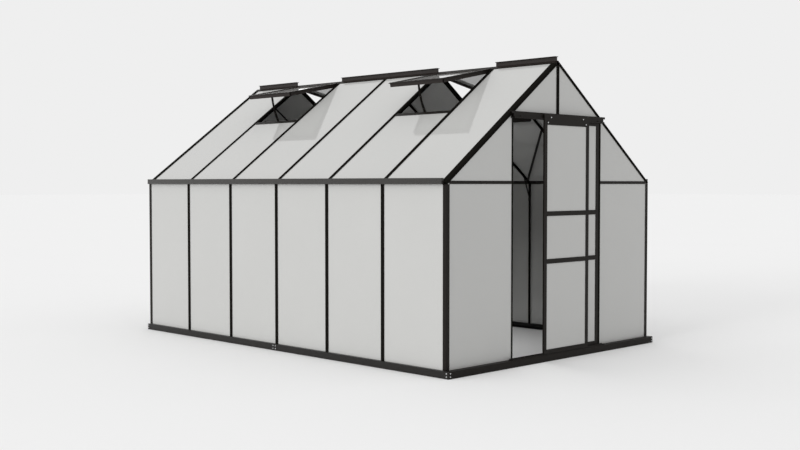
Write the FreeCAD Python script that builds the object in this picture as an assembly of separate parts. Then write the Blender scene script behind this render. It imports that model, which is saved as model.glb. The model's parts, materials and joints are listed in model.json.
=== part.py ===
"""Walk-in apex greenhouse: powder-coated aluminium frame with opal twin-wall panels.

All sizes are in millimetres.  X runs across the house, Y along it with the doors at -Y, and Z up.
The origin is at the middle of the footprint, on the ground.
"""
import FreeCAD
import Part

import math
import os

V = FreeCAD.Vector

# ---------------------------------------------------------------- driving dimensions
BAY = 620.0                      # spacing of the stations along the house
BAYS = 6
WALL_WIDTH = 2530.0              # across the outer faces of the wall posts
EAVE_Z = 1353.0                  # underside of the gutters, top of the walls
APEX_Z = 2302.7                  # where the two roof surfaces meet
CREST_TOP_Z = 2336.0
ROOF_DROP = 930.4                # fall of a roof slope over half of the wall width

BASE_HEIGHT = 53.0
BASE_SIDE_OUT = 23.0             # base beyond the wall faces
BASE_FRONT_OUT = 44.0
BASE_BACK_OUT = 5.0
BASE_FLANGE = 56.0
BASE_FRONT_FLANGE = 82.0
SHEET = 2.5                      # wall of the base rails and the gutters

GABLE_OUT = 17.5                 # gable faces beyond the end stations
BAR_FACE = 34.0                  # visible width of a glazing bar
BAR_DEPTH = 30.0
BAR_WEB = 6.0
BAR_CAP = 3.0
BAR_INNER = 14.0
PANEL = 6.0
PANEL_IN = 4.0                   # panel surface behind the outer face of its bar
SLIP = 1.0                       # room between a panel edge and the metal beside it

GUTTER_OUT = 30.0
GUTTER_HEIGHT = 43.5
GUTTER_SHORT = 22.0              # gutters stop this far inside the gable faces

REAR_MULLION_X = 543.0           # outer uprights of the rear gable
LEFT_JAMB_X = -546.0             # centre line of the narrow jamb
LEFT_JAMB_FACE = 14.0
RIGHT_JAMB_X = 552.0             # centre line of the full-width jamb
GABLE_RAIL_LOW = 1354.0
GABLE_RAIL_HIGH = 1377.0

LEAF_WIDTH = 571.0
LEAF_DEPTH = 12.0
LEAF_LOW = 58.0
LEAF_HIGH = 1884.0
STILE = 36.0
TOP_RAIL_LOW = 1802.0
REAR_TOP_RAIL_LOW = 1815.0
TOP_RAIL_BODY_HIGH = 1837.0
MID_RAILS_Z = (765.5, 1128.5)
BOTTOM_RAIL_HIGH = 92.0
LEAF_SHEET = 2.5
FRONT_LEAF_X = 65.0              # middle of the front leaf at rest
REAR_LEAF_X = 235.5

TRACK_HALF = 588.0
TRACK_LOW = 1840.0
TRACK_HIGH = 1890.0
TRACK_NOTCH_X = 566.0            # past here only the lip of the track runs on
TRACK_LIP_LOW = 1873.0
AXLE_Z = 1858.0
AXLE_OUT = 204.5                 # rollers either side of the middle of a leaf
ROLLER_FLANGE_R = 9.5
ROLLER_TREAD_R = 7.2
ROLLER_WIDTH = 5.7
AXLE_R = 2.5
RUNNING_FIT = 0.05
CLEAR = 0.3

TRACK_BACK = 3.0
SCREW_X = (-480.0, -160.0, 160.0, 480.0)
SCREW_Z = 1872.0
SCREW_R = 2.0
HEADER_LOW = 1843.0
HEADER_HIGH = 1876.0
REAR_RIB = 10.75                 # middle of the rib that each roller runs on, in front of the gable
FRONT_RIB = 36.75
RIB = 1.5
REAR_LEAF_FACE = 16.5            # front face of each leaf, in front of the gable
FRONT_LEAF_FACE = 43.0
WEB_FRONT = 27.5
WEB_BACK = 25.0
LOW_BOLT_OUT = 242.5
LOW_BOLT_Z = 1819.0
LEAF_HEAD = 3.5

VENT_BAYS = (1, 4)               # bays counted from the doors, starting at 0
VENT_OPEN = 25.0                 # degrees above the closed position
VENT_HALF = 300.0
VENT_HINGE_S = 42.0
VENT_HINGE_W = -9.0
VENT_END_S = 622.0
SILL_S = 633.0
SILL_DEPTH = 60.0                # below the roof surface
HINGE_PIN_R = 3.0
KNUCKLE_R = 7.0
KNUCKLE_HALF = 291.0
VENT_TOP_W = 8.0
VENT_LOW_W = -29.0
LIFT_W = 0.8                     # vent flange over the rafter caps when shut
DROP_HALF = 289.0
RAIL_WALL = 8.0
TOP_RAIL_END_S = 68.0
BOTTOM_RAIL_S = 602.0
STAY_THICK = 3.0
STAY_HALF = 11.0
STAY_PIVOT_S = 589.0
STAY_PIVOT_W = -22.0
STAY_PIN_R = 2.5
STAY_FOOT_S = 619.0
STAY_FOOT_W = -36.0
LUG_GAP = 0.5

BOLT_LOW = 17.0                  # base bolts, above the ground
BOLT_HIGH = 40.0
BOLT_FROM_CORNER = 17.0
BOLT_FROM_JOINT = 15.0
BOLT_R = 3.0
HEAD_R = 5.0
HEAD_HIGH = 4.0
BRACKET = 3.0
NUT_HIGH = 3.5
ANCHOR_X = 1270.0
ANCHOR_Y = 1650.0
ANCHOR_R = 4.5
FOOT = 30.0

# ---------------------------------------------------------------- worked-out places
HALF = WALL_WIDTH / 2
ROOF_ANGLE = math.atan2(ROOF_DROP, HALF)
COS = math.cos(ROOF_ANGLE)
SIN = math.sin(ROOF_ANGLE)
LENGTH = BAYS * BAY + 2 * GABLE_OUT + BASE_FRONT_OUT + BASE_BACK_OUT
BASE_Y = LENGTH / 2
BASE_X = HALF + BASE_SIDE_OUT
FRONT = -BASE_Y + BASE_FRONT_OUT
BACK = BASE_Y - BASE_BACK_OUT
RIDGE_HALF_S = 34.0              # ridge beam shoulder, measured down the slope
PANEL_END_S = 1559.0
CAP_END_S = 1576.0
GABLE_CAP = 48.0
GABLE_FACE = 23.0
JOINT_Y = FRONT + GABLE_OUT + BAYS // 2 * BAY
POST_INNER = HALF - 15.0
RAIL_X = HALF - BAR_FACE
RAIL_MIDDLE = (GABLE_RAIL_LOW + GABLE_RAIL_HIGH) / 2
RIB_TOP = AXLE_Z - ROLLER_TREAD_R - CLEAR
FRONT_LEAF_MAX_X = RIGHT_JAMB_X + 4.0 - LEAF_WIDTH / 2


def station(index):
    """Y of the station with this index, 0 at the doors."""
    return FRONT + GABLE_OUT + index * BAY


# ---------------------------------------------------------------- shape helpers
def box(x0, x1, y0, y1, z0, z1):
    return Part.makeBox(x1 - x0, y1 - y0, z1 - z0, V(x0, y0, z0))


def prism(points, travel):
    wire = Part.makePolygon(points + [points[0]])
    return Part.Face(wire).extrude(travel)


def along_x(points, x0, x1):
    return prism([V(x0, y, z) for y, z in points], V(x1 - x0, 0, 0))


def along_y(points, y0, y1):
    return prism([V(x, y0, z) for x, z in points], V(0, y1 - y0, 0))


def along_z(points, z0, z1):
    return prism([V(x, y, z0) for x, y in points], V(0, 0, z1 - z0))


def rod(start, direction, radius, length):
    return Part.makeCylinder(radius, length, start, direction)


def on_slope(s, w, y=0.0):
    """Point on the left slope: s down the slope from the apex, w outward from the roof surface."""
    return V(-s * COS - w * SIN, y, APEX_Z - s * SIN + w * COS)


def slope_profile(points, y0, y1):
    """Section given in (s, w) on the left slope, run along the house."""
    return prism([on_slope(s, w, y0) for s, w in points], V(0, y1 - y0, 0))


def slope_bar(points, s0, s1, y):
    """Section given in (distance along Y from y, w), run down the left slope."""
    travel = on_slope(s1, 0) - on_slope(s0, 0)
    return prism([on_slope(s0, w, y + v) for v, w in points], travel)


def slope_plate(points, w0, w1):
    """Outline given in (s, y) on the left slope, between two heights over the roof surface."""
    travel = on_slope(0, w1) - on_slope(0, w0)
    return prism([on_slope(s, w0, y) for s, y in points], travel)


def right(shape):
    """The same piece on the other side of the house."""
    return shape.mirror(V(0, 0, 0), V(1, 0, 0))


def both(shapes):
    return shapes + [right(shape) for shape in shapes]


def cut_all(shape, tools):
    for tool in tools:
        shape = shape.cut(tool)
    return shape


def solids(shapes):
    found = []
    for shape in shapes:
        found.extend(shape.Solids)
    return found


def save(name, shapes):
    pieces = solids(shapes)
    for piece in pieces:
        if not piece.isValid():
            print("invalid solid in", name)
    Part.makeCompound(pieces).exportStep("parts/" + name + ".step")
    print(name, len(pieces), "solids", round(sum(piece.Volume for piece in pieces) / 1000), "cm3")


def bar_section(face=BAR_FACE, inner=BAR_INNER):
    """Glazing bar section as (across, depth): outer cap, web and inner flange."""
    half = face / 2
    web = BAR_WEB / 2
    low = BAR_DEPTH - BAR_CAP
    flange = inner / 2
    left = [(-half, 0), (-half, BAR_CAP), (-web, BAR_CAP), (-web, low), (-flange, low), (-flange, BAR_DEPTH)]
    return left + [(-across, depth) for across, depth in reversed(left)]


# ---------------------------------------------------------------- base frame
def base_region(points):
    return along_z(points, -1, BASE_HEIGHT + 1)


def channel_section(flange, foot):
    """Base rail section as (inward, z)."""
    return [(0, 0), (foot, 0), (foot, SHEET), (SHEET, SHEET), (SHEET, BASE_HEIGHT - SHEET),
            (flange, BASE_HEIGHT - SHEET), (flange, BASE_HEIGHT), (0, BASE_HEIGHT)]


def base_bolt(face_point, inward):
    """Button-head bolt through a base rail and the bracket behind it, with its nut."""
    outward = inward * -1
    head = rod(face_point, outward, HEAD_R, HEAD_HIGH)
    shank = rod(face_point, inward, BOLT_R, SHEET + BRACKET + NUT_HIGH)
    nut = rod(face_point + inward * (SHEET + BRACKET), inward, HEAD_R, NUT_HIGH)
    return head.fuse([shank, nut]).removeSplitter()


def base_bolt_places():
    """Outer end of every bolt hole in the base, with the way into the rail."""
    places = []
    for z in (BOLT_LOW, BOLT_HIGH):
        for sx in (-1, 1):
            into_side = V(-sx, 0, 0)
            for sy in (-1, 1):
                places.append((V(sx * BASE_X, sy * (BASE_Y - BOLT_FROM_CORNER), z), into_side))
                places.append((V(sx * (BASE_X - BOLT_FROM_CORNER), sy * BASE_Y, z), V(0, -sy, 0)))
                places.append((V(sx * BASE_X, JOINT_Y + sy * BOLT_FROM_JOINT, z), into_side))
    return places


def base_holes():
    deep = SHEET + BRACKET
    return [rod(point - inward * 1.0, inward, BOLT_R, deep + 1.0) for point, inward in base_bolt_places()]


def anchor_holes():
    holes = []
    for sx in (-1, 1):
        for sy in (-1, 1):
            holes.append(rod(V(sx * ANCHOR_X, sy * ANCHOR_Y, -1), V(0, 0, 1), ANCHOR_R, SHEET + 2))
    return holes


def make_base():
    holes = base_holes()
    front_section = [(-BASE_Y + inward, z) for inward, z in channel_section(BASE_FRONT_FLANGE, FOOT)]
    front = along_x(front_section, -BASE_X, BASE_X)
    reach = BASE_FRONT_FLANGE
    front = front.common(base_region([(-BASE_X, -BASE_Y), (BASE_X, -BASE_Y),
                                      (BASE_X - reach, -BASE_Y + reach), (-BASE_X + reach, -BASE_Y + reach)]))
    save("base_rail_front", [cut_all(front, holes)])

    back_section = [(BASE_Y - inward, z) for inward, z in channel_section(BASE_FLANGE, FOOT)]
    back = along_x(back_section, -BASE_X, BASE_X)
    reach = BASE_FLANGE
    back = back.common(base_region([(-BASE_X, BASE_Y), (BASE_X, BASE_Y),
                                    (BASE_X - reach, BASE_Y - reach), (-BASE_X + reach, BASE_Y - reach)]))
    save("base_rail_back", [cut_all(back, holes)])

    side_section = [(-BASE_X + inward, z) for inward, z in channel_section(BASE_FLANGE, FOOT)]
    ahead = along_y(side_section, -BASE_Y, JOINT_Y)
    ahead = ahead.common(base_region([(-BASE_X, -BASE_Y), (-BASE_X + reach, -BASE_Y + reach),
                                      (-BASE_X + reach, JOINT_Y), (-BASE_X, JOINT_Y)]))
    behind = along_y(side_section, JOINT_Y, BASE_Y)
    behind = behind.common(base_region([(-BASE_X, JOINT_Y), (-BASE_X + reach, JOINT_Y),
                                        (-BASE_X + reach, BASE_Y - reach), (-BASE_X, BASE_Y)]))
    holes = holes + anchor_holes()
    for name, shape in (("base_rail_left", [ahead, behind]),
                        ("base_rail_right", [right(ahead), right(behind)])):
        save(name, [cut_all(rail, holes) for rail in shape])


def make_base_fixings():
    holes = base_holes()
    x_in = -BASE_X + SHEET
    low = SHEET + 2.0
    high = BASE_HEIGHT - SHEET - 2.0
    leg = 45.0
    brackets = []
    for sy in (-1, 1):
        corner_y = sy * (BASE_Y - SHEET)
        outline = [(x_in, corner_y), (x_in + leg, corner_y), (x_in + leg, corner_y - sy * BRACKET),
                   (x_in + BRACKET, corner_y - sy * BRACKET), (x_in + BRACKET, corner_y - sy * leg),
                   (x_in, corner_y - sy * leg)]
        brackets.append(along_z(outline, low, high))
    save("base_corner_brackets", [cut_all(piece, holes) for piece in both(brackets)])
    plate = box(x_in, x_in + BRACKET, JOINT_Y - leg, JOINT_Y + leg, low, high)
    save("base_joint_plates", [cut_all(piece, holes) for piece in both([plate])])
    save("base_bolts", [base_bolt(point, inward) for point, inward in base_bolt_places()])


# ---------------------------------------------------------------- walls
def post_section():
    """Corner post section as (in from the side face, in from the gable face)."""
    core = 14.0
    side_leg = 33.0
    return [(0, 0), (BAR_FACE, 0), (BAR_FACE, BAR_CAP), (core, BAR_CAP), (core, 11), (BAR_FACE, 11),
            (BAR_FACE, core), (core, core), (core, side_leg), (11, side_leg), (11, core),
            (BAR_CAP, core), (BAR_CAP, side_leg), (0, side_leg)]


def corner_posts():
    front = [(-HALF + a, FRONT + b) for a, b in post_section()]
    back = [(-HALF + a, BACK - b) for a, b in post_section()]
    return both([along_z(front, BASE_HEIGHT, EAVE_Z), along_z(back, BASE_HEIGHT, EAVE_Z)])


def gutter_section():
    """Trough with a wall plate on its inner side, as (x, z) on the left."""
    wall_out = -HALF - GUTTER_OUT
    wall_in = -HALF + BAR_DEPTH
    lip = 7.0
    top = EAVE_Z + GUTTER_HEIGHT
    floor = EAVE_Z + SHEET
    under_panel = -(PANEL_IN + PANEL + 0.5)
    plate_top = APEX_Z + wall_in * ROOF_DROP / HALF + under_panel / COS
    plate_toe = -(APEX_Z + under_panel / COS - floor) * HALF / ROOF_DROP
    return [(wall_in, EAVE_Z), (wall_out, EAVE_Z), (wall_out, top), (wall_out + lip, top),
            (wall_out + lip, top - SHEET), (wall_out + SHEET, top - SHEET), (wall_out + SHEET, floor),
            (plate_toe, floor), (wall_in, plate_top)]


def gutter():
    return along_y(gutter_section(), FRONT + GUTTER_SHORT, BACK - GUTTER_SHORT)


def make_walls():
    save("corner_posts", corner_posts())
    mullions = []
    panels = []
    edge = BAR_WEB / 2 + SLIP
    post_edge = 15.0
    for index in range(1, BAYS):
        section = [(-HALF + depth, station(index) + across) for across, depth in bar_section()]
        mullions.append(along_z(section, BASE_HEIGHT, EAVE_Z))
    for index in range(BAYS):
        y0 = FRONT + post_edge if index == 0 else station(index) + edge
        y1 = BACK - post_edge if index == BAYS - 1 else station(index + 1) - edge
        panels.append(box(-HALF + PANEL_IN, -HALF + PANEL_IN + PANEL, y0, y1, BASE_HEIGHT, EAVE_Z))
    save("wall_mullions", both(mullions))
    save("wall_panels_left", panels)
    save("wall_panels_right", [right(panel) for panel in panels])
    save("eave_gutter_left", [gutter()])
    save("eave_gutter_right", [right(gutter())])
    x_in = -HALF - 5.0
    x_out = -HALF - GUTTER_OUT
    top = EAVE_Z + GUTTER_HEIGHT
    cap = [(x_out, EAVE_Z), (x_out, top), (x_in, top), (x_in, EAVE_Z)]
    thick = 1.5
    ahead = FRONT + GUTTER_SHORT
    behind = BACK - GUTTER_SHORT
    save("gutter_end_caps", both([along_y(cap, ahead - thick, ahead), along_y(cap, behind, behind + thick)]))


# ---------------------------------------------------------------- roof
def ridge_outline(inset):
    low = -(BAR_DEPTH + 1.0)
    shoulder = on_slope(RIDGE_HALF_S - inset, -inset)
    foot = on_slope(RIDGE_HALF_S - inset, low + inset)
    return [(shoulder.x, shoulder.z), (foot.x, foot.z), (-foot.x, foot.z), (-shoulder.x, shoulder.z),
            (0, APEX_Z - inset / COS)]


def ridge_beam():
    outer = along_y(ridge_outline(0), FRONT, BACK)
    return outer.cut(along_y(ridge_outline(BAR_CAP), FRONT - 1, BACK + 1))


def ridge_block():
    return along_y(ridge_outline(0), FRONT, BACK)


def make_ridge():
    save("ridge_beam", [ridge_beam()])
    web = 5.0
    flange = 18.0
    thick = 4.0
    wing = 30.0
    skin = 2.0
    wing_tip = on_slope(wing, 0)
    wing_top = on_slope(wing, skin)
    skin_z = APEX_Z + skin / COS
    web_z = skin_z - web * ROOF_DROP / HALF
    left = [(0, APEX_Z), (wing_tip.x, wing_tip.z), (wing_top.x, wing_top.z), (-web, web_z),
            (-web, CREST_TOP_Z - thick), (-flange, CREST_TOP_Z - thick), (-flange, CREST_TOP_Z)]
    section = left + [(-x, z) for x, z in reversed(left[1:])]
    gap = 5.0
    ends = [station(0) - 4.0]
    for index in VENT_BAYS:
        ends += [station(index) - 20.0, station(index + 1) + gap]
    ends.append(station(BAYS) - 30.0)
    crests = [along_y(section, y0, y1) for y0, y1 in zip(ends[0::2], ends[1::2])]
    save("ridge_crests", crests)


def rafter_section():
    return [(across, -depth) for across, depth in bar_section()]


def roof_rafter(index):
    """Left rafter: the full bar stops at the wall plate, its cap runs on over the gutter."""
    y = station(index)
    half = BAR_FACE / 2
    bar = slope_bar(rafter_section(), RIDGE_HALF_S, CAP_END_S, y)
    inside = box(-HALF + BAR_DEPTH, 0, FRONT, BACK, 0, APEX_Z)
    strip = [(-half, 0), (half, 0), (half, -BAR_CAP), (-half, -BAR_CAP)]
    cap = slope_bar(strip, RIDGE_HALF_S, CAP_END_S, y)
    return bar.common(inside).fuse(cap).removeSplitter().cut(gutter())


def gable_rafter(face_y, inward):
    """Left gable rafter: face strip, wide cap along the roof edge and a fin behind the panel."""
    fin_out = 11.0
    fin_in = 14.0
    points = [(0, 0), (GABLE_CAP, 0), (GABLE_CAP, -BAR_CAP), (fin_in, -BAR_CAP), (fin_in, -GABLE_FACE),
              (fin_out, -GABLE_FACE), (fin_out, -BAR_CAP), (BAR_CAP, -BAR_CAP), (BAR_CAP, -GABLE_FACE),
              (0, -GABLE_FACE)]
    bar = slope_bar([(inward * v, w) for v, w in points], 0.0, CAP_END_S, face_y)
    return cut_all(bar, [ridge_block(), gutter()] + corner_posts())


def make_roof():
    front = gable_rafter(FRONT, 1)
    back = gable_rafter(BACK, -1)
    save("gable_rafters_front", both([front]))
    save("gable_rafters_back", both([back]))
    save("roof_rafters", both([roof_rafter(index) for index in range(1, BAYS)]))
    panels = []
    edge = BAR_WEB / 2 + SLIP
    gable_edge = 16.0
    for index in range(BAYS):
        y0 = FRONT + gable_edge if index == 0 else station(index) + edge
        y1 = BACK - gable_edge if index == BAYS - 1 else station(index + 1) - edge
        top = SILL_S + BAR_CAP + SLIP if index in VENT_BAYS else RIDGE_HALF_S + SLIP
        outline = [(top, -PANEL_IN), (PANEL_END_S, -PANEL_IN), (PANEL_END_S, -PANEL_IN - PANEL),
                   (top, -PANEL_IN - PANEL)]
        panels.append(slope_profile(outline, y0, y1))
    save("roof_panels_left", panels)
    save("roof_panels_right", [right(panel) for panel in panels])


# ---------------------------------------------------------------- gables and doorway
def gable_bar_upright(x, face_y, inward, z0, z1, face=BAR_FACE, inner=BAR_INNER):
    section = [(x + across, face_y + inward * depth) for across, depth in bar_section(face, inner)]
    return along_z(section, z0, z1)


def gable_rail_level(z0, z1, face_y, inward, x0, x1):
    face = z1 - z0
    middle = (z0 + z1) / 2
    section = [(face_y + inward * depth, middle + across) for across, depth in bar_section(face, face - 4.0)]
    return along_x(section, x0, x1)


def gable_area(face_y, inward, margin):
    """Pentagon of the gable, kept below the roof surface by a margin, over the panel's thickness."""
    peak = APEX_Z - margin / COS
    eave = peak - ROOF_DROP
    points = [(-HALF, 0), (HALF, 0), (HALF, eave), (0, peak), (-HALF, eave)]
    y0 = face_y + inward * PANEL_IN
    y1 = y0 + inward * PANEL
    return along_y(points, y0, y1)


def under_rafters(shape):
    """An upright of a gable, ended on the lower edge of the gable rafters."""
    over = slope_profile([(-700, -GABLE_FACE), (CAP_END_S, -GABLE_FACE), (CAP_END_S, 900), (-700, 900)],
                         FRONT, BACK)
    return cut_all(shape, [over, right(over), ridge_block()])


def gable_panel(area, x0, x1, z0, z1):
    y_low = min(area.BoundBox.YMin, area.BoundBox.YMax)
    y_high = max(area.BoundBox.YMin, area.BoundBox.YMax)
    return area.common(box(x0, x1, y_low, y_high, z0, z1))


def make_gables():
    edge = BAR_WEB / 2 + SLIP
    half = BAR_FACE / 2
    left_half = LEFT_JAMB_FACE / 2
    roof_front = both([gable_rafter(FRONT, 1)])
    roof_back = both([gable_rafter(BACK, -1)])
    top = APEX_Z
    jambs = [gable_bar_upright(LEFT_JAMB_X, FRONT, 1, BASE_HEIGHT, top, LEFT_JAMB_FACE, LEFT_JAMB_FACE),
             gable_bar_upright(RIGHT_JAMB_X, FRONT, 1, BASE_HEIGHT, top)]
    save("door_jambs", [under_rafters(jamb) for jamb in jambs])
    header = gable_rail_level(HEADER_LOW, HEADER_HIGH, FRONT, 1, LEFT_JAMB_X + left_half, RIGHT_JAMB_X - half)
    save("door_header", [cut_all(header, track_screw_holes())])

    uprights = [gable_bar_upright(0, FRONT, 1, HEADER_HIGH, top)]
    for x in (-REAR_MULLION_X, 0.0, REAR_MULLION_X):
        uprights.append(gable_bar_upright(x, BACK, -1, BASE_HEIGHT, top))
    save("gable_mullions", [under_rafters(bar) for bar in uprights])

    rails = []
    for x0, x1 in ((-RAIL_X, LEFT_JAMB_X - left_half), (RIGHT_JAMB_X + half, RAIL_X)):
        rails.append(gable_rail_level(GABLE_RAIL_LOW, GABLE_RAIL_HIGH, FRONT, 1, x0, x1))
    for x0, x1 in ((-RAIL_X, -REAR_MULLION_X - half), (-REAR_MULLION_X + half, -half)):
        rails += both([gable_rail_level(GABLE_RAIL_LOW, GABLE_RAIL_HIGH, BACK, -1, x0, x1)])
    save("gable_rails", [cut_all(rail, roof_front + roof_back) for rail in rails])

    margin = PANEL_IN
    area = gable_area(FRONT, 1, margin)
    low = RAIL_MIDDLE - edge
    high = RAIL_MIDDLE + edge
    header_top = (HEADER_LOW + HEADER_HIGH) / 2 + edge
    panels = [gable_panel(area, LEFT_JAMB_X + edge, -edge, header_top, top),
              gable_panel(area, edge, RIGHT_JAMB_X - edge, header_top, top)]
    for z0, z1 in ((BASE_HEIGHT, low), (high, top)):
        panels.append(gable_panel(area, -POST_INNER, LEFT_JAMB_X - edge, z0, z1))
        panels.append(gable_panel(area, RIGHT_JAMB_X + edge, POST_INNER, z0, z1))
    keep_out = roof_front + [ridge_block(), gutter(), right(gutter())]
    save("gable_panels_front", [cut_all(panel, keep_out) for panel in panels])
    area = gable_area(BACK, -1, margin)
    panels = []
    for z0, z1 in ((BASE_HEIGHT, low), (high, top)):
        panels += both([gable_panel(area, -POST_INNER, -REAR_MULLION_X - edge, z0, z1),
                        gable_panel(area, -REAR_MULLION_X + edge, -edge, z0, z1)])
    keep_out = roof_back + [ridge_block(), gutter(), right(gutter())]
    save("gable_panels_back", [cut_all(panel, keep_out) for panel in panels])


# ---------------------------------------------------------------- door track
def track_section():
    """Track section as (out from the gable, z): back plate, roof, front web and two ribbed shelves."""
    shelf_top = TRACK_LOW + SHEET
    rear_tip = REAR_RIB + RIB / 2
    front_tip = FRONT_RIB + RIB / 2
    back = TRACK_BACK
    return [(0, TRACK_LOW), (rear_tip, TRACK_LOW), (rear_tip, RIB_TOP), (rear_tip - RIB, RIB_TOP),
            (rear_tip - RIB, shelf_top), (back, shelf_top), (back, TRACK_HIGH - SHEET),
            (WEB_BACK, TRACK_HIGH - SHEET), (WEB_BACK, TRACK_LOW), (front_tip, TRACK_LOW),
            (front_tip, RIB_TOP), (front_tip - RIB, RIB_TOP), (front_tip - RIB, shelf_top),
            (WEB_FRONT, shelf_top), (WEB_FRONT, TRACK_HIGH), (0, TRACK_HIGH)]


def track_screw_holes():
    return [rod(V(x, FRONT - TRACK_BACK - 1.0, SCREW_Z), V(0, 1, 0), SCREW_R, 8.0) for x in SCREW_X]


def make_track():
    section = [(FRONT - out, z) for out, z in track_section()]
    track = along_x(section, -TRACK_HALF, TRACK_HALF)
    screws = []
    for x in SCREW_X:
        shank = rod(V(x, FRONT - TRACK_BACK, SCREW_Z), V(0, 1, 0), SCREW_R, TRACK_BACK + BAR_CAP)
        head = rod(V(x, FRONT - TRACK_BACK - 2.5, SCREW_Z), V(0, 1, 0), 4.0, 2.5)
        screws.append(head.fuse(shank).removeSplitter())
    save("track_screws", screws)
    notches = both([box(TRACK_NOTCH_X, TRACK_HALF + 1, FRONT - 50, FRONT + 1, TRACK_LOW - 1, TRACK_LIP_LOW)])
    save("door_track", [cut_all(track, notches + track_screw_holes())])
    reach = AXLE_OUT + ROLLER_FLANGE_R + 2.0
    block = 8.0
    shelf_top = TRACK_LOW + SHEET
    front_end = FRONT_LEAF_MAX_X + reach
    rear_end = REAR_LEAF_X + reach
    stops = both([box(front_end, front_end + block, FRONT - FRONT_RIB + RIB / 2, FRONT - WEB_FRONT,
                      shelf_top, AXLE_Z),
                  box(rear_end, rear_end + block, FRONT - REAR_RIB + RIB / 2, FRONT - 3.0,
                      shelf_top, AXLE_Z)])
    save("track_stops", stops)
    guide_top = BASE_HEIGHT + 2.0
    rib_top = guide_top + 9.0
    outer = FRONT_LEAF_FACE - 1.5
    rear_mid = REAR_LEAF_FACE - LEAF_DEPTH / 2
    front_mid = FRONT_LEAF_FACE - LEAF_DEPTH / 2
    section = [(1.5, BASE_HEIGHT), (outer, BASE_HEIGHT), (outer, guide_top),
               (front_mid + 1, guide_top), (front_mid + 1, rib_top), (front_mid - 1, rib_top),
               (front_mid - 1, guide_top), (rear_mid + 1, guide_top), (rear_mid + 1, rib_top),
               (rear_mid - 1, rib_top), (rear_mid - 1, guide_top), (1.5, guide_top)]
    save("threshold_guide", [along_x([(FRONT - out, z) for out, z in section], -TRACK_HALF, TRACK_HALF)])


# ---------------------------------------------------------------- door leaves
def leaf_frame(middle_x, face, rail_low, panels, holes):
    """Stiles, mid rails, bottom rail and the tall top rail that carries the rollers."""
    x0 = middle_x - LEAF_WIDTH / 2
    x1 = middle_x + LEAF_WIDTH / 2
    y0 = FRONT - face
    y1 = y0 + LEAF_DEPTH
    half = STILE / 2
    members = [box(x0, x0 + STILE, y0, y1, LEAF_LOW, rail_low),
               box(x1 - STILE, x1, y0, y1, LEAF_LOW, rail_low)]
    for z in MID_RAILS_Z:
        members.append(box(x0 + STILE, x1 - STILE, y0, y1, z - half, z + half))
    bottom = box(x0 + STILE, x1 - STILE, y0, y1, LEAF_LOW, BOTTOM_RAIL_HIGH)
    members.append(bottom)
    top = [(y0, rail_low), (y1, rail_low), (y1, TOP_RAIL_BODY_HIGH),
           (y0 + LEAF_SHEET, TOP_RAIL_BODY_HIGH), (y0 + LEAF_SHEET, LEAF_HIGH), (y0, LEAF_HIGH)]
    members.append(along_x(top, x0, x1))
    groove = box(x0, x1, y0 + 3.5, y1 - 3.5, LEAF_LOW, LEAF_LOW + 12.0)
    return [cut_all(member, panels + holes + [groove]) for member in members]


def leaf_panels(middle_x, face, rail_low):
    tuck = 6.0
    x0 = middle_x - LEAF_WIDTH / 2 + STILE - tuck
    x1 = middle_x + LEAF_WIDTH / 2 - STILE + tuck
    thick = 4.0
    y0 = FRONT - face + (LEAF_DEPTH - thick) / 2
    half = STILE / 2
    levels = [BOTTOM_RAIL_HIGH]
    for z in MID_RAILS_Z:
        levels += [z - half, z + half]
    levels.append(rail_low)
    return [box(x0, x1, y0, y0 + thick, z0 - tuck, z1 + tuck) for z0, z1 in zip(levels[0::2], levels[1::2])]


def leaf_bolts(middle_x, face, rib, rail_bolts):
    """Two roller axles, and two rail bolts on a leaf that has them, heads to the front."""
    pieces = []
    y0 = FRONT - face
    axle_end = FRONT - rib + ROLLER_WIDTH / 2 + 0.5
    for side in (-1, 1):
        x = middle_x + side * AXLE_OUT
        head = rod(V(x, y0 - LEAF_HEAD, AXLE_Z), V(0, 1, 0), HEAD_R, LEAF_HEAD)
        shank = rod(V(x, y0, AXLE_Z), V(0, 1, 0), AXLE_R, axle_end - y0 + 1.5)
        nut = rod(V(x, axle_end, AXLE_Z), V(0, 1, 0), 4.0, 1.5)
        pieces.append(head.fuse([shank, nut]).removeSplitter())
        if rail_bolts:
            x = middle_x + side * LOW_BOLT_OUT
            head = rod(V(x, y0 - LEAF_HEAD, LOW_BOLT_Z), V(0, 1, 0), HEAD_R, LEAF_HEAD)
            shank = rod(V(x, y0, LOW_BOLT_Z), V(0, 1, 0), AXLE_R, LEAF_DEPTH)
            pieces.append(head.fuse(shank).removeSplitter())
    return pieces


def leaf_bolt_holes(middle_x, face, rail_bolts):
    y = FRONT - face - 1.0
    deep = LEAF_DEPTH + 2.0
    holes = []
    for side in (-1, 1):
        holes.append(rod(V(middle_x + side * AXLE_OUT, y, AXLE_Z), V(0, 1, 0), AXLE_R, deep))
        if rail_bolts:
            holes.append(rod(V(middle_x + side * LOW_BOLT_OUT, y, LOW_BOLT_Z), V(0, 1, 0), AXLE_R, deep))
    return holes


def roller(x, rib):
    """Grooved nylon roller that straddles the rib."""
    half = ROLLER_WIDTH / 2
    groove = half - 1.45
    slope = 0.6
    profile = [(AXLE_R + RUNNING_FIT, -half), (ROLLER_FLANGE_R, -half), (ROLLER_FLANGE_R, -groove - slope),
               (ROLLER_TREAD_R, -groove), (ROLLER_TREAD_R, groove), (ROLLER_FLANGE_R, groove + slope),
               (ROLLER_FLANGE_R, half), (AXLE_R + RUNNING_FIT, half)]
    y = FRONT - rib
    points = [V(x + radius, y + out, AXLE_Z) for radius, out in profile]
    wire = Part.makePolygon(points + [points[0]])
    return Part.Face(wire).revolve(V(x, y, AXLE_Z), V(0, 1, 0), 360)


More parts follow.
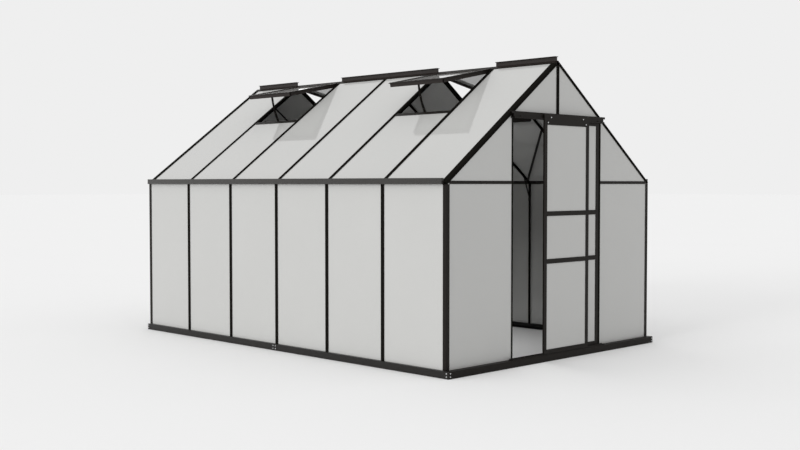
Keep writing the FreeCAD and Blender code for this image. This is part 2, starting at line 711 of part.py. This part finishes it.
def make_leaf(name, middle_x, face, rib, rail_low, rail_bolts):
    panels = leaf_panels(middle_x, face, rail_low)
    holes = leaf_bolt_holes(middle_x, face, rail_bolts)
    save(name + "_frame", leaf_frame(middle_x, face, rail_low, panels, holes))
    save(name + "_panels", panels)
    save(name + "_bolts", leaf_bolts(middle_x, face, rib, rail_bolts))
    save(name + "_roller_left", [roller(middle_x - AXLE_OUT, rib)])
    save(name + "_roller_right", [roller(middle_x + AXLE_OUT, rib)])


# ---------------------------------------------------------------- roof vents
HINGE = on_slope(VENT_HINGE_S, VENT_HINGE_W)


def opened(shape):
    turned = shape.copy()
    turned.rotate(HINGE, V(0, 1, 0), VENT_OPEN)
    return turned


def opened_point(point):
    offset = point - HINGE
    angle = math.radians(VENT_OPEN)
    x = offset.x * math.cos(angle) + offset.z * math.sin(angle)
    z = -offset.x * math.sin(angle) + offset.z * math.cos(angle)
    return HINGE + V(x, offset.y, z)


def vent_frame(middle):
    """Left vent in its shut position: hinge rail, two side rails and a deep bottom rail."""
    start_s = VENT_HINGE_S + 4.0
    end_s = TOP_RAIL_END_S
    hinge_rail = slope_profile([(start_s, -14), (start_s, VENT_TOP_W), (end_s, VENT_TOP_W), (end_s, -14)],
                               middle - DROP_HALF, middle + DROP_HALF)
    upper = slope_profile([(start_s, LIFT_W), (start_s, VENT_TOP_W), (end_s, VENT_TOP_W), (end_s, LIFT_W)],
                          middle - VENT_HALF, middle + VENT_HALF)
    axis = V(HINGE.x, middle - KNUCKLE_HALF, HINGE.z)
    knuckle = rod(axis, V(0, 1, 0), KNUCKLE_R, 2 * KNUCKLE_HALF)
    bore = rod(axis - V(0, 1, 0), V(0, 1, 0), HINGE_PIN_R + RUNNING_FIT, 2 * KNUCKLE_HALF + 2)
    hinge_rail = hinge_rail.fuse([upper, knuckle]).cut(bore).removeSplitter()
    side = [(VENT_HALF, LIFT_W), (VENT_HALF, VENT_TOP_W), (DROP_HALF - RAIL_WALL - 6, VENT_TOP_W),
            (DROP_HALF - RAIL_WALL - 6, 0), (DROP_HALF - RAIL_WALL, 0), (DROP_HALF - RAIL_WALL, VENT_LOW_W),
            (DROP_HALF, VENT_LOW_W), (DROP_HALF, LIFT_W)]
    low_side = slope_bar([(-v, w) for v, w in side], TOP_RAIL_END_S, BOTTOM_RAIL_S, middle)
    high_side = slope_bar(side, TOP_RAIL_END_S, BOTTOM_RAIL_S, middle)
    drip_s = VENT_END_S + 8.0
    drip_w = LIFT_W + 2.5
    flange = slope_profile([(BOTTOM_RAIL_S, LIFT_W), (drip_s, LIFT_W), (drip_s, drip_w), (VENT_END_S, drip_w),
                            (VENT_END_S, VENT_TOP_W), (BOTTOM_RAIL_S, VENT_TOP_W)],
                           middle - VENT_HALF, middle + VENT_HALF)
    wall = BAR_CAP
    deep = slope_profile([(BOTTOM_RAIL_S, VENT_LOW_W), (VENT_END_S, VENT_LOW_W), (VENT_END_S, LIFT_W),
                          (BOTTOM_RAIL_S, LIFT_W)], middle - DROP_HALF, middle + DROP_HALF)
    hollow = slope_profile([(BOTTOM_RAIL_S + wall, VENT_LOW_W + wall), (VENT_END_S - wall, VENT_LOW_W + wall),
                            (VENT_END_S - wall, -wall), (BOTTOM_RAIL_S + wall, -wall)],
                           middle - DROP_HALF - 1, middle + DROP_HALF + 1)
    bottom = deep.cut(hollow).fuse(flange).removeSplitter()
    return [hinge_rail, low_side, high_side, bottom]


def vent_panel(middle):
    reach = DROP_HALF - RAIL_WALL
    return slope_profile([(TOP_RAIL_END_S, 0), (BOTTOM_RAIL_S, 0), (BOTTOM_RAIL_S, -PANEL),
                          (TOP_RAIL_END_S, -PANEL)], middle - reach, middle + reach)


def stay_pin(middle):
    """Lug on the bottom rail with the rivet that the stay turns on."""
    pivot = on_slope(STAY_PIVOT_S, STAY_PIVOT_W, middle)
    y0 = middle - LUG_GAP - STAY_THICK
    lug = slope_profile([(STAY_PIVOT_S - 6, STAY_PIVOT_W - 6), (STAY_PIVOT_S - 6, STAY_PIVOT_W + 6),
                         (BOTTOM_RAIL_S, STAY_PIVOT_W + 6), (BOTTOM_RAIL_S, STAY_PIVOT_W - 6)],
                        y0, middle - LUG_GAP)
    shank = rod(V(pivot.x, y0, pivot.z), V(0, 1, 0), STAY_PIN_R, 2 * STAY_THICK + 2 * LUG_GAP)
    head = rod(V(pivot.x, middle + STAY_THICK + LUG_GAP, pivot.z), V(0, 1, 0), 4.5, 2.0)
    return lug.fuse([shank, head]).removeSplitter()


def stay(middle):
    """Curved stay strip of the open left vent, from its rivet down past the sill, with peg holes."""
    top = opened_point(on_slope(STAY_PIVOT_S, STAY_PIVOT_W, middle))
    foot = on_slope(STAY_FOOT_S, STAY_FOOT_W, middle)
    chord = foot - top
    bulge = V(chord.z, 0, -chord.x).normalize() * 13.0
    crown = (top + foot) * 0.5 + bulge
    circle = Part.Circle(top, crown, foot)
    centre = circle.Center
    radius = circle.Radius

    def at(point, distance):
        return centre + (point - centre).normalize() * distance

    def end_cap(point, sign):
        along = (point - centre).cross(V(0, 1, 0)).normalize() * (STAY_HALF * sign)
        return point + along

    turn = 1 if (foot - top).dot((top - centre).cross(V(0, 1, 0))) < 0 else -1
    outer = Part.Arc(at(top, radius + STAY_HALF), at(crown, radius + STAY_HALF), at(foot, radius + STAY_HALF))
    inner = Part.Arc(at(foot, radius - STAY_HALF), at(crown, radius - STAY_HALF), at(top, radius - STAY_HALF))
    foot_arc = Part.Arc(at(foot, radius + STAY_HALF), end_cap(foot, -turn), at(foot, radius - STAY_HALF))
    top_arc = Part.Arc(at(top, radius - STAY_HALF), end_cap(top, turn), at(top, radius + STAY_HALF))
    wire = Part.Wire([outer.toShape(), foot_arc.toShape(), inner.toShape(), top_arc.toShape()])
    strip = Part.Face(wire).extrude(V(0, STAY_THICK, 0))
    holes = [rod(top - V(0, 1, 0), V(0, 1, 0), STAY_PIN_R + RUNNING_FIT, STAY_THICK + 2)]
    count = 5
    start = math.atan2(top.z - centre.z, top.x - centre.x)
    end = math.atan2(foot.z - centre.z, foot.x - centre.x)
    sweep = (end - start + math.pi) % (2 * math.pi) - math.pi
    for number in range(1, count + 1):
        angle = start + sweep * number / count
        place = centre + V(math.cos(angle), 0, math.sin(angle)) * radius
        holes.append(rod(V(place.x, middle - 1, place.z), V(0, 1, 0), 3.2, STAY_THICK + 2))
    return cut_all(strip, holes)


def sill(middle):
    web_edge = BAY / 2 - BAR_INNER / 2
    web = slope_profile([(SILL_S, -SILL_DEPTH), (SILL_S + BAR_CAP, -SILL_DEPTH), (SILL_S + BAR_CAP, -BAR_CAP),
                         (SILL_S, -BAR_CAP)], middle - web_edge, middle + web_edge)
    cap_edge = BAY / 2 - BAR_FACE / 2
    flange = slope_profile([(SILL_S, -BAR_CAP), (SILL_S + 32.0, -BAR_CAP), (SILL_S + 32.0, 0), (SILL_S, 0)],
                           middle - cap_edge, middle + cap_edge)
    return web.fuse(flange).removeSplitter()


def stay_peg(middle):
    """Bracket on the inner side of the sill, its peg just short of the stay's last hole."""
    y0 = middle - 9.0
    start_s = SILL_S - 20.0
    plate = slope_profile([(start_s, -44), (SILL_S, -44), (SILL_S, -30), (start_s, -30)], y0, y0 + 2.0)
    place = on_slope(STAY_FOOT_S, STAY_FOOT_W)
    peg = rod(V(place.x, y0 + 2.0, place.z), V(0, 1, 0), STAY_PIN_R, 6.2)
    return plate.fuse(peg).removeSplitter()


def hinge_pin(middle):
    """Hinge pin with a lug at each end, the lugs fixed to the ridge beam."""
    reach = KNUCKLE_HALF + 5.0
    pin = rod(V(HINGE.x, middle - reach, HINGE.z), V(0, 1, 0), HINGE_PIN_R, 2 * reach)
    plate = [(RIDGE_HALF_S, -16), (VENT_HINGE_S + 6, -16), (VENT_HINGE_S + 6, -BAR_CAP - 0.2),
             (RIDGE_HALF_S, -BAR_CAP - 0.2)]
    lugs = [slope_profile(plate, middle - reach, middle - reach + 3.0),
            slope_profile(plate, middle + reach - 3.0, middle + reach)]
    return pin.fuse(lugs).removeSplitter()


def make_vents():
    sills = []
    pegs = []
    pins = []
    for bay, place in zip(VENT_BAYS, ("front", "rear")):
        middle = (station(bay) + station(bay + 1)) / 2
        sills += both([sill(middle)])
        pegs += both([stay_peg(middle)])
        pins += both([hinge_pin(middle)])
        frame = [opened(piece) for piece in vent_frame(middle)] + [opened(stay_pin(middle))]
        panel = opened(vent_panel(middle))
        strip = stay(middle)
        for side, turn in (("left", lambda shape: shape), ("right", right)):
            name = "vent_" + side + "_" + place
            save(name + "_frame", [turn(piece) for piece in frame])
            save(name + "_panel", [turn(panel)])
            save(name + "_stay", [turn(strip)])
    save("vent_sills", sills)
    save("stay_pegs", pegs)
    save("vent_hinge_pins", pins)


# ---------------------------------------------------------------- braces and seals
def knee_brace(index):
    """Bent strip between the mullion and the rafter of one station, on the left."""
    thick = 3.0
    y0 = station(index) - BAR_INNER / 2
    y1 = station(index) + BAR_INNER / 2
    flange_x = -HALF + BAR_DEPTH
    wall_foot = box(flange_x, flange_x + thick, y0, y1, 1195.0, 1240.0)
    s_mid = 1468.0
    low = -BAR_DEPTH
    roof_foot = slope_profile([(s_mid - 22, low), (s_mid + 22, low), (s_mid + 22, low - thick),
                               (s_mid - 22, low - thick)], y0, y1)
    a = V(flange_x + thick / 2, y0, 1236.0)
    b = on_slope(s_mid, low - thick / 2, y0)
    along = (b - a).normalize()
    across = V(along.z, 0, -along.x) * (thick / 2)
    strut = prism([a + across, b + across, b - across, a - across], V(0, y1 - y0, 0))
    return wall_foot.fuse([roof_foot, strut]).removeSplitter()


def wind_brace(eave_index, roof_index):
    """Flat diagonal strip under two rafters on the left, from the eave up to the vent sill's height."""
    half = 10.0
    low = -BAR_DEPTH
    a = V(1522.0, station(eave_index), 0)
    b = V(792.0, station(roof_index), 0)
    along = (b - a).normalize()
    across = V(-along.y, along.x, 0) * half
    corners = [a + across, b + across, b - across, a - across]
    return slope_plate([(corner.x, corner.y) for corner in corners], low - 3.0, low)


def make_braces():
    save("knee_braces", both([knee_brace(index) for index in range(1, BAYS)]))
    first, second = VENT_BAYS
    save("wind_braces", both([wind_brace(first + 1, first), wind_brace(second, second + 1)]))


def make_gaskets():
    """Glazing strips between the bar caps and the panels, in the walls and the roof."""
    strip = 8.0
    near = BAR_WEB / 2 + 3.0
    seals = []
    for index in range(1, BAYS):
        for sign in (-1, 1):
            v0 = min(sign * near, sign * (near + strip))
            y = station(index)
            seals.append(box(-HALF + BAR_CAP, -HALF + PANEL_IN, y + v0, y + v0 + strip, BASE_HEIGHT, EAVE_Z))
            bay = index if sign > 0 else index - 1
            top = SILL_S + 40.0 if bay in VENT_BAYS else RIDGE_HALF_S + SLIP
            section = [(v0, -BAR_CAP), (v0 + strip, -BAR_CAP), (v0 + strip, -PANEL_IN), (v0, -PANEL_IN)]
            seals.append(slope_bar(section, top, PANEL_END_S, y))
    save("glazing_seals", both(seals))


os.makedirs("parts", exist_ok=True)
make_base()
make_base_fixings()
make_walls()
make_ridge()
make_roof()
make_gables()
make_track()
make_leaf("front_leaf", FRONT_LEAF_X, FRONT_LEAF_FACE, FRONT_RIB, TOP_RAIL_LOW, True)
make_leaf("rear_leaf", REAR_LEAF_X, REAR_LEAF_FACE, REAR_RIB, REAR_TOP_RAIL_LOW, False)
make_vents()
make_braces()
make_gaskets()
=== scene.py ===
"""Walk-in apex greenhouse: finishes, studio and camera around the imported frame.

Everything is in metres in the frame's own axes: doors at -Y, long walls at -X and +X, Z up.
"""

import json
import math

import bpy
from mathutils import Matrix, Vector


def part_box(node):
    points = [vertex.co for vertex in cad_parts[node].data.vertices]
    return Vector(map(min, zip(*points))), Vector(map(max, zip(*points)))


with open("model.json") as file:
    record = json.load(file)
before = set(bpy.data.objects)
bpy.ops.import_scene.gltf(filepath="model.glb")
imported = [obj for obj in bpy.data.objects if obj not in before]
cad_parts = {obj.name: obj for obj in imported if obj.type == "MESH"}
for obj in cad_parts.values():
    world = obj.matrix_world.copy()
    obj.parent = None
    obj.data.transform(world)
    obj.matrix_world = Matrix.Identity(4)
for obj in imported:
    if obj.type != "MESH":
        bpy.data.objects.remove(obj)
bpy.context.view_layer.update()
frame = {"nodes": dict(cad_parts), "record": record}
nodes = frame["nodes"]

# ---------------------------------------------------------------- camera
CAMERA_PLACE = (-6.942, -7.091, 1.357)
CAMERA_YAW = -44.95              # degrees from +Y, negative towards +X
CAMERA_PITCH = -2.127            # degrees above the horizon
CAMERA_REACH = 500.0
LENS_MM = 50.15
SENSOR_MM = 36.0

# ---------------------------------------------------------------- studio
SKY = 0.863                      # radiance of the surrounding studio walls
FLOOR_SIZE = 240.0
FLOOR_TONE = 0.845
FLOOR_MOTTLE = 0.005             # how far the paint's tone strays, as a share of it

LAMP_SOFTNESS = 24.0             # degrees across, seen from the house
# each lamp: degrees from +X towards +Y, degrees above the floor, irradiance
LAMPS = {
    "key_left": (180, 12, 1.08),
    "key_high": (180, 40, 0.14),
    "fill_left_back": (150, 12, 0.25),
    "fill_back": (120, 12, 0.15),
    "fill_right_back": (60, 12, 0.17),
    "top": (0, 90, 0.13),
}
NOT_MIRRORED = "key_left"        # its mirror image would whiten the left slope seen from above

# a strip lamp under the ridge stands in for the daylight that real opal sheets let in
HOUSE_LAMP_WATTS = 9.0
HOUSE_LAMP_DROP = 0.12           # below the ridge beam
HOUSE_LAMP_WIDTH = 0.12
HOUSE_LAMP_SHORTER = 0.4         # than the ridge beam
HOUSE_LAMP_SPREAD = 90.0         # degrees

# ---------------------------------------------------------------- colours
# powder coats: darkest and lightest tone, roughness, specular level
COATS = {
    "frame_coat": ((0.0072, 0.0056, 0.0042), (0.0092, 0.0072, 0.0056), 0.50, 0.13),
    # painted shade: a copy of the frame coat with no sheen, so the parts given it look darker, as
    # shaded parts do
    "deep_coat": ((0.0070, 0.0066, 0.0055), (0.0090, 0.0084, 0.0071), 0.55, 0.0),
    # painted light: a copy of the frame coat about twice as light, for parts that catch more light
    "brown_coat": ((0.0150, 0.0112, 0.0095), (0.0182, 0.0140, 0.0120), 0.42, 0.18),
    # partly painted light: a lighter copy of the frame coat standing for the gutter's gleam, with a
    # real glossier finish
    "lit_gutter_coat": ((0.0100, 0.0085, 0.0066), (0.0124, 0.0106, 0.0084), 0.28, 0.50),
    "base_coat": ((0.0066, 0.0056, 0.0046), (0.0084, 0.0072, 0.0060), 0.38, 0.28),
}
# parts that take the shaded copy of the frame coat: painted shade
SHADED_COAT_NODES = ("wall_mullions", "roof_rafters", "door_jambs", "gable_mullions")

OPAL_TONES = ((0.450, 0.450, 0.440), (0.470, 0.470, 0.459))
WEB_TONE = (0.42, 0.42, 0.41)
WEB_SHOWS = 0.25                 # how much of the web tone comes through the skin
WEB_PITCH = 0.0061               # spacing of the webs inside a twin-wall sheet
WEB_SHARPNESS = 10.0             # a higher power makes a thinner line

ZINC_TONES = ((0.72, 0.73, 0.74), (0.58, 0.59, 0.60))
NYLON_TONES = ((0.66, 0.64, 0.58), (0.76, 0.74, 0.68))
RUBBER_TONES = ((0.012, 0.012, 0.012), (0.03, 0.03, 0.03))


# ---------------------------------------------------------------- camera and light
def camera():
    data = bpy.data.cameras.new("camera")
    data.lens = LENS_MM
    data.sensor_width = SENSOR_MM
    data.clip_end = CAMERA_REACH
    holder = bpy.data.objects.new("camera", data)
    holder.location = CAMERA_PLACE
    holder.rotation_euler = (math.radians(90 + CAMERA_PITCH), 0, math.radians(CAMERA_YAW))
    bpy.context.scene.collection.objects.link(holder)
    bpy.context.scene.camera = holder


def sky():
    world = bpy.data.worlds.new("studio")
    world.use_nodes = True
    background = world.node_tree.nodes["Background"]
    background.inputs["Color"].default_value = (SKY, SKY, SKY, 1)
    background.inputs["Strength"].default_value = 1.0
    bpy.context.scene.world = world


def add_lamp(name, kind, place, towards, **settings):
    """A lamp that shines from the side that the vector points to."""
    lamp = bpy.data.lights.new(name, kind)
    for key, value in settings.items():
        setattr(lamp, key, value)
    holder = bpy.data.objects.new(name, lamp)
    holder.location = place
    holder.rotation_euler = towards.to_track_quat("Z", "Y").to_euler()
    bpy.context.scene.collection.objects.link(holder)
    return holder


def lamps():
    """Soft lamps round the left and back of the house, and one overhead."""
    softness = math.radians(LAMP_SOFTNESS)
    for name, (bearing, height, strength) in LAMPS.items():
        side = math.radians(bearing)
        rise = math.radians(height)
        level = math.cos(rise)
        towards = Vector((math.cos(side) * level, math.sin(side) * level, math.sin(rise)))
        lamp = add_lamp(name, "SUN", (0, 0, 0), towards, energy=strength, angle=softness)
        lamp.visible_glossy = name != NOT_MIRRORED


def house_lamp():
    """A strip lamp hung inside under the ridge, out of the camera's sight."""
    low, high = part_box("ridge_beam")
    place = ((low.x + high.x) / 2, (low.y + high.y) / 2, low.z - HOUSE_LAMP_DROP)
    shape = {
        "shape": "RECTANGLE",
        "size": HOUSE_LAMP_WIDTH,
        "size_y": high.y - low.y - HOUSE_LAMP_SHORTER,
        "spread": math.radians(HOUSE_LAMP_SPREAD),
    }
    lamp = add_lamp("house_lamp", "AREA", place, Vector((0, 0, 1)), energy=HOUSE_LAMP_WATTS, **shape)
    lamp.visible_camera = False
    lamp.visible_glossy = False


# ---------------------------------------------------------------- node helpers
def is_socket(value):
    return isinstance(value, bpy.types.NodeSocket)


class Shader:
    """One procedural material, with short calls for the nodes it is made of."""

    def __init__(self, name):
        self.material = bpy.data.materials.new(name)
        self.material.use_nodes = True
        self.tree = self.material.node_tree
        self.surface = self.tree.nodes["Principled BSDF"]
        self.place = self.tree.nodes.new("ShaderNodeTexCoord").outputs["Object"]

    def feed(self, socket, value):
        """Gives an input a node's output to follow, or a constant."""
        if is_socket(value):
            self.tree.links.new(value, socket)
        else:
            socket.default_value = value

    def node(self, kind, inputs, **settings):
        made = self.tree.nodes.new(kind)
        for key, value in settings.items():
            setattr(made, key, value)
        for key, value in inputs.items():
            self.feed(made.inputs[key], value)
        return made

    def fix(self, **values):
        """Sets constants on the surface's own sockets."""
        for key, value in values.items():
            self.surface.inputs[key.replace("_", " ")].default_value = value

    def link(self, output, socket):
        self.tree.links.new(output, self.surface.inputs[socket])

    def noise(self, scale, detail=2.0):
        """Cloudy noise, 0..1, with about scale patches to the metre."""
        inputs = {"Vector": self.place, "Scale": scale, "Detail": detail}
        return self.node("ShaderNodeTexNoise", inputs).outputs["Fac"]

    def math(self, operation, *values):
        made = self.tree.nodes.new("ShaderNodeMath")
        made.operation = operation
        for socket, value in zip(made.inputs, values):
            self.feed(socket, value)
        return made.outputs[0]

    def spread(self, value, low, high):
        """Maps 0..1 to low..high."""
        inputs = {"Value": value, "To Min": low, "To Max": high}
        return self.node("ShaderNodeMapRange", inputs).outputs["Result"]

    def mix(self, factor, first, second):
        """Blends two colours, each a node's output or three numbers."""
        made = self.node("ShaderNodeMix", {"Factor": factor}, data_type="RGBA")
        ends = [socket for socket in made.inputs if socket.type == "RGBA"]
        for socket, colour in zip(ends, (first, second)):
            self.feed(socket, colour if is_socket(colour) else (*colour, 1.0))
        return [socket for socket in made.outputs if socket.type == "RGBA"][0]

    def bump(self, height, distance, strength):
        inputs = {"Height": height, "Distance": distance, "Strength": strength}
        self.link(self.node("ShaderNodeBump", inputs).outputs["Normal"], "Normal")


# ---------------------------------------------------------------- finishes
def powder_coat(name, dark, light, roughness, sheen):
    """Powder coat: fine orange peel, slight mottling and duller patches."""
    made = Shader(name)
    peel = made.noise(scale=1400.0, detail=3.0)
    mottle = made.noise(scale=9.0, detail=4.0)
    patches = made.noise(scale=60.0, detail=3.0)
    made.link(made.mix(mottle, dark, light), "Base Color")
    made.link(made.spread(patches, low=roughness - 0.06, high=roughness + 0.08), "Roughness")
    made.fix(Specular_IOR_Level=sheen)
    made.bump(peel, distance=0.00012, strength=0.5)
    return made.material


def opal_sheet(name, across):
    """Opal twin-wall sheet: glossy skin over inner webs that repeat along the named axis."""
    made = Shader(name)
    split = made.node("ShaderNodeSeparateXYZ", {"Vector": made.place})
    phase = made.math("MULTIPLY", split.outputs[across], math.tau / WEB_PITCH)
    wave = made.math("COSINE", phase)
    web = made.math("POWER", made.spread(wave, low=0.5, high=1.0), WEB_SHARPNESS)
    cloud = made.noise(scale=1.6, detail=3.0)
    handling = made.noise(scale=22.0, detail=3.0)
    skin = made.mix(cloud, *OPAL_TONES)
    made.link(made.mix(made.math("MULTIPLY", web, WEB_SHOWS), skin, WEB_TONE), "Base Color")
    made.link(made.spread(handling, low=0.03, high=0.05), "Roughness")
    made.fix(IOR=1.5)
    made.bump(web, distance=0.00005, strength=0.15)
    return made.material


def zinc(name):
    """Bright zinc plating with a fine crystalline bloom."""
    made = Shader(name)
    voronoi = made.node("ShaderNodeTexVoronoi", {"Vector": made.place, "Scale": 900.0})
    cells = voronoi.outputs["Distance"]
    made.link(made.mix(cells, *ZINC_TONES), "Base Color")
    made.link(made.spread(made.noise(scale=300.0), low=0.22, high=0.42), "Roughness")
    made.fix(Metallic=1.0)
    made.bump(cells, distance=0.00005, strength=0.3)
    return made.material


def nylon(name):
    """Natural nylon: off-white, faintly clouded, with a moulded skin."""
    made = Shader(name)
    made.link(made.mix(made.noise(scale=120.0, detail=3.0), *NYLON_TONES), "Base Color")
    made.link(made.spread(made.noise(scale=400.0), low=0.38, high=0.5), "Roughness")
    made.bump(made.noise(scale=900.0), distance=0.0001, strength=0.4)
    return made.material


def seal_rubber(name):
    """Black glazing rubber: matt, with a dusty mottle."""
    made = Shader(name)
    made.link(made.mix(made.noise(scale=200.0, detail=3.0), *RUBBER_TONES), "Base Color")
    made.link(made.spread(made.noise(scale=500.0), low=0.55, high=0.8), "Roughness")
    made.bump(made.noise(scale=1200.0), distance=0.0001, strength=0.5)
    return made.material


def floor_paint(name):
    """Pale matt paint with no gloss."""
    made = Shader(name)
    dark = FLOOR_TONE * (1 - FLOOR_MOTTLE)
    light = FLOOR_TONE * (1 + FLOOR_MOTTLE)
    made.link(made.mix(made.noise(scale=0.5), (dark,) * 3, (light,) * 3), "Base Color")
    made.fix(Roughness=0.9, Specular_IOR_Level=0.0)
    return made.material


# ---------------------------------------------------------------- floor
def floor():
    half = FLOOR_SIZE / 2
    corners = [(-half, -half, 0), (half, -half, 0), (half, half, 0), (-half, half, 0)]
    mesh = bpy.data.meshes.new("floor")
    mesh.from_pydata(corners, [], [(0, 1, 2, 3)])
    mesh.materials.append(floor_paint("floor_paint"))
    holder = bpy.data.objects.new("floor", mesh)
    bpy.context.scene.collection.objects.link(holder)


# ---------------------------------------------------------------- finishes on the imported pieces
def finish_for(name, slot):
    """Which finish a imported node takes, from its name and its material slot."""
    if slot == "opal_panel":
        faces_along_y = name.startswith("gable") or "leaf" in name
        return "opal_x" if faces_along_y else "opal_y"
    # painted shade: these parts, the gable rafters too, take the sheenless copy of the frame coat so
    # they look darker
    if name in SHADED_COAT_NODES or "gable_rafters" in name:
        return "deep_coat"
    # painted light: the ridge crests and vent frames take the lighter copy of the frame coat
    is_vent_frame = name.startswith("vent") and name.endswith("frame")
    if name == "ridge_crests" or is_vent_frame:
        return "brown_coat"
    # partly painted light: the gutters take the lighter, glossier copy of the frame coat
    if "gutter" in name:
        return "lit_gutter_coat"
    # painted shade: the front base rail takes the frame coat, duller than the base coat, so that it
    # looks darker as its shaded face does
    if name == "base_rail_front":
        return "frame_coat"
    return slot


def dress():
    """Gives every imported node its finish."""
    finishes = {name: powder_coat(name, *coat) for name, coat in COATS.items()}
    finishes["opal_x"] = opal_sheet("opal_x", "X")
    finishes["opal_y"] = opal_sheet("opal_y", "Y")
    finishes["zinc_fixing"] = zinc("zinc_fixing")
    finishes["nylon_roller"] = nylon("nylon_roller")
    finishes["rubber_seal"] = seal_rubber("rubber_seal")
    slots = {piece["node"]: piece["material_slot"] for piece in frame["record"]["subparts"]}
    for name, piece in nodes.items():
        finish = finishes[finish_for(name, slots[name])]
        for slot in piece.material_slots:
            slot.material = finish


camera()
sky()
lamps()
house_lamp()
floor()
dress()
bpy.context.scene.view_settings.view_transform = "Standard"
